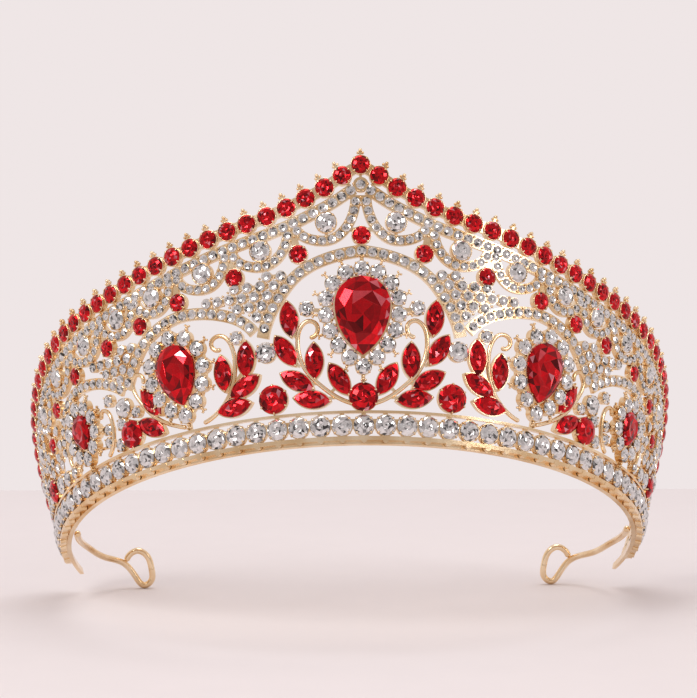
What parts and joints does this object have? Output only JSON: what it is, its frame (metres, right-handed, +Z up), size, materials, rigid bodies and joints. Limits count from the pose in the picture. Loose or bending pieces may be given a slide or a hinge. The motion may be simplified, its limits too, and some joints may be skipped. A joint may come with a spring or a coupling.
{
  "type": "crown",
  "caption": "Rigid half-ring bridal crown: openwork gilt wall rising to a point, set with clear and red faceted stones, with a wire loop at each end.",
  "frame": {"origin": "bottom centre of the bounding box, on the level that the two end loops touch", "axes": "+Z up with the crown leaned back as it is worn, front towards -Y, +X to its right as seen from the front; symmetric about the YZ plane"},
  "size_m": [0.1468, 0.0774, 0.1021],
  "materials": {
    "gilt_alloy": "light gold plated casting, polished",
    "gilt_wire": "light gold plated wire, satin",
    "clear_crystal": "faceted, foil backed",
    "red_crystal": "faceted, foil backed"
  },
  "bodies": {
    "root": {"accent_crystals": "clear_crystal", "accent_cups": "gilt_alloy", "arch_pave_crystals": "clear_crystal", "base_gallery_centre": "gilt_alloy", "base_gallery_left": "gilt_alloy", "base_gallery_right": "gilt_alloy", "base_row_crystals": "clear_crystal", "border_crystals": "red_crystal", "border_pave_crystals": "clear_crystal", "centre_arch": "gilt_alloy", "centre_halo_crystals": "clear_crystal", "centre_medallion_setting": "gilt_alloy", "centre_pear_crystal": "red_crystal", "centre_spray_left": "gilt_alloy", "centre_spray_right": "gilt_alloy", "end_panel_crystals": "clear_crystal", "end_panel_left": "gilt_alloy", "end_panel_right": "gilt_alloy", "end_scroll_left": "gilt_alloy", "end_scroll_right": "gilt_alloy", "end_wire_left": "gilt_wire", "end_wire_right": "gilt_wire", "headband_strip": "gilt_alloy", "inner_lattice_left": "gilt_alloy", "inner_lattice_right": "gilt_alloy", "junction_crystals": "red_crystal", "lattice_crystals": "clear_crystal", "leaf_scroll_left": "gilt_alloy", "leaf_scroll_right": "gilt_alloy", "navette_crystals": "red_crystal", "outer_arch_left": "gilt_alloy", "outer_arch_right": "gilt_alloy", "outer_halo_crystals": "clear_crystal", "outer_lattice_left": "gilt_alloy", "outer_lattice_right": "gilt_alloy", "outer_medallion_setting_left": "gilt_alloy", "outer_medallion_setting_right": "gilt_alloy", "outer_pear_crystals": "red_crystal", "outer_spray_left": "gilt_alloy", "outer_spray_right": "gilt_alloy", "round_red_crystals": "red_crystal", "round_red_cups": "gilt_alloy", "side_arch_left": "gilt_alloy", "side_arch_right": "gilt_alloy", "side_halo_crystals": "clear_crystal", "side_medallion_setting_left": "gilt_alloy", "side_medallion_setting_right": "gilt_alloy", "side_pear_crystals": "red_crystal", "side_spray_left": "gilt_alloy", "side_spray_right": "gilt_alloy", "swag_drop_crystals": "clear_crystal", "swag_pave_crystals": "clear_crystal", "swags_centre": "gilt_alloy", "swags_left": "gilt_alloy", "swags_right": "gilt_alloy", "top_border_centre": "gilt_alloy", "top_border_left": "gilt_alloy", "top_border_right": "gilt_alloy"}
  },
  "joints": []
}
